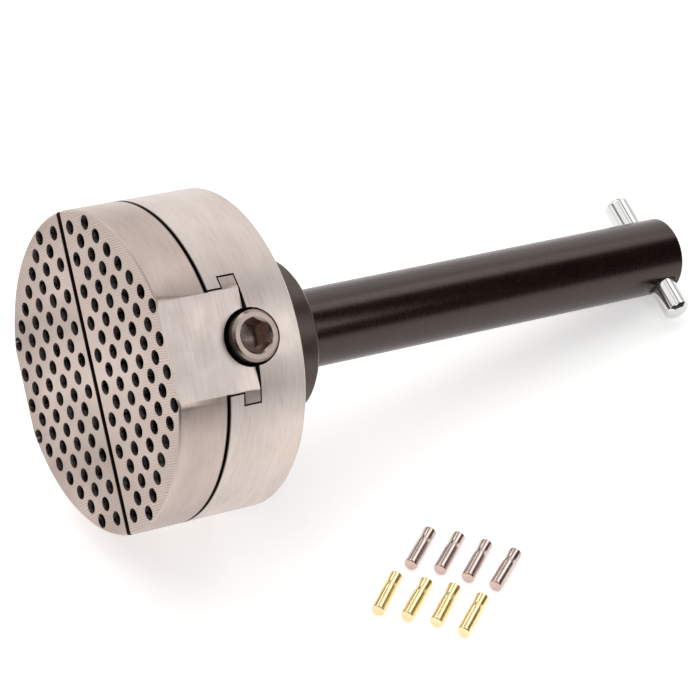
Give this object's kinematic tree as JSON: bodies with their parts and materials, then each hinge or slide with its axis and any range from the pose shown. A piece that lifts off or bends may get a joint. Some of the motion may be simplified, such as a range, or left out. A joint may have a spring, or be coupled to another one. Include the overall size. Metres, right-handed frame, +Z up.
{
  "type": "pegged hand vise",
  "caption": "Round self-centring hand vise with pegged jaws, a lead screw, a round shank with a cross pin, and loose work-holding pegs beside it.",
  "frame": {"origin": "on the bench, under the middle of the group's box: the vise lying on its base rim and shank end, with its pegs beside it", "axes": "+Z up from the bench, +X along the shank away from the jaws, so the pegs lie on the -Y side"},
  "size_m": [0.1162, 0.0793, 0.0542],
  "materials": {
    "ground_steel": "fine turned and ground, satin",
    "screw_steel": "turned, worn bright",
    "yoke_brass": "milled",
    "black_steel": "blackened steel, satin",
    "bright_pin": "bright plated",
    "peg_steel": "drawn wire, satin",
    "peg_brass": "polished"
  },
  "bodies": {
    "vise": {"base": "ground_steel", "screw_yoke": "yoke_brass", "hub": "black_steel", "hub_screws": "black_steel", "shank": "black_steel", "cross_pin": "bright_pin"},
    "jaw_right": {"jaw_right": "ground_steel"},
    "jaw_left": {"jaw_left": "ground_steel"},
    "lead_screw": {"lead_screw": "screw_steel"},
    "steel_peg_1": {"steel_peg_1": "peg_steel"},
    "steel_peg_2": {"steel_peg_2": "peg_steel"},
    "steel_peg_3": {"steel_peg_3": "peg_steel"},
    "steel_peg_4": {"steel_peg_4": "peg_steel"},
    "brass_peg_1": {"brass_peg_1": "peg_brass"},
    "brass_peg_2": {"brass_peg_2": "peg_brass"},
    "brass_peg_3": {"brass_peg_3": "peg_brass"},
    "brass_peg_4": {"brass_peg_4": "peg_brass"}
  },
  "joints": [
    {"name": "lead_screw_turn", "type": "hinge", "parent": "vise", "child": "lead_screw", "pos_m": [-0.03882, 0.01422, 0.02646], "axis": [0.139, -0.7431, 0.6545], "range_deg": [-115.3, 2448.1]},
    {"name": "jaw_right_slide", "type": "slide", "parent": "vise", "child": "jaw_right", "axis": [0.139, -0.7431, 0.6545], "range_m": [-0.0004, 0.0085]},
    {"name": "jaw_left_slide", "type": "slide", "parent": "vise", "child": "jaw_left", "axis": [-0.139, 0.7431, -0.6545], "range_m": [-0.0004, 0.0085]},
    {"name": "steel_peg_1_lift", "type": "slide", "parent": "vise", "child": "steel_peg_1", "axis": [0, 0, 1], "range_m": [0, 0.03]},
    {"name": "steel_peg_2_lift", "type": "slide", "parent": "vise", "child": "steel_peg_2", "axis": [0, 0, 1], "range_m": [0, 0.03]},
    {"name": "steel_peg_3_lift", "type": "slide", "parent": "vise", "child": "steel_peg_3", "axis": [0, 0, 1], "range_m": [0, 0.03]},
    {"name": "steel_peg_4_lift", "type": "slide", "parent": "vise", "child": "steel_peg_4", "axis": [0, 0, 1], "range_m": [0, 0.03]},
    {"name": "brass_peg_1_lift", "type": "slide", "parent": "vise", "child": "brass_peg_1", "axis": [0, 0, 1], "range_m": [0, 0.03]},
    {"name": "brass_peg_2_lift", "type": "slide", "parent": "vise", "child": "brass_peg_2", "axis": [0, 0, 1], "range_m": [0, 0.03]},
    {"name": "brass_peg_3_lift", "type": "slide", "parent": "vise", "child": "brass_peg_3", "axis": [0, 0, 1], "range_m": [0, 0.03]},
    {"name": "brass_peg_4_lift", "type": "slide", "parent": "vise", "child": "brass_peg_4", "axis": [0, 0, 1], "range_m": [0, 0.03]}
  ],
  "couplings": [
    {"joint": "lead_screw_turn", "follows": "jaw_right_slide", "rad_per_m": 5026.5},
    {"joint": "jaw_left_slide", "follows": "jaw_right_slide", "ratio": 1}
  ]
}
